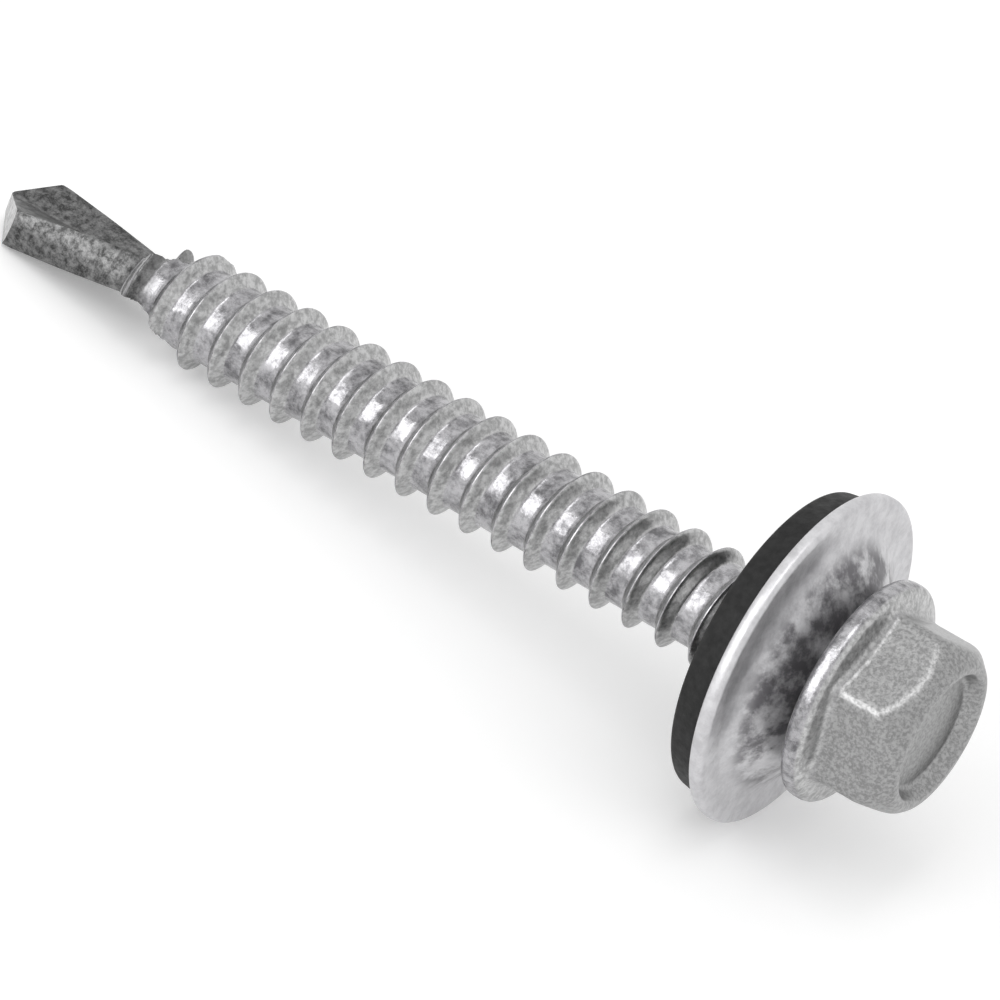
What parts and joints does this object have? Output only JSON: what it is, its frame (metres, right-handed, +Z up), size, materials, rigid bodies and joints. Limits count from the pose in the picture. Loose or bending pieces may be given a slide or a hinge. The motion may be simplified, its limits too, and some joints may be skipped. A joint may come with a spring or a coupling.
{
  "type": "self drilling screw",
  "caption": "Hex flange head screw with a drill point and a captive dished steel washer with a bonded rubber seal, for fixing sheet to steel.",
  "frame": {"origin": "on the floor under the middle of the box of the screw as it lies", "axes": "+X along the floor from the drill point towards the head, +Z up; the screw's own axis rises 9.05 degrees from +X"},
  "size_m": [0.0526, 0.016, 0.016],
  "materials": {
    "zinc_steel": "bright zinc plating, fine grain",
    "washer_steel": "satin zinc plating",
    "seal_rubber": "matte black"
  },
  "bodies": {
    "screw": {"screw": "zinc_steel"},
    "seal_washer": {"steel_washer": "washer_steel", "rubber_seal": "seal_rubber"}
  },
  "joints": [
    {"name": "washer_slide", "type": "slide", "parent": "screw", "child": "seal_washer", "axis": [-0.9876, 0, -0.1572], "range_m": [0, 0.032]}
  ]
}
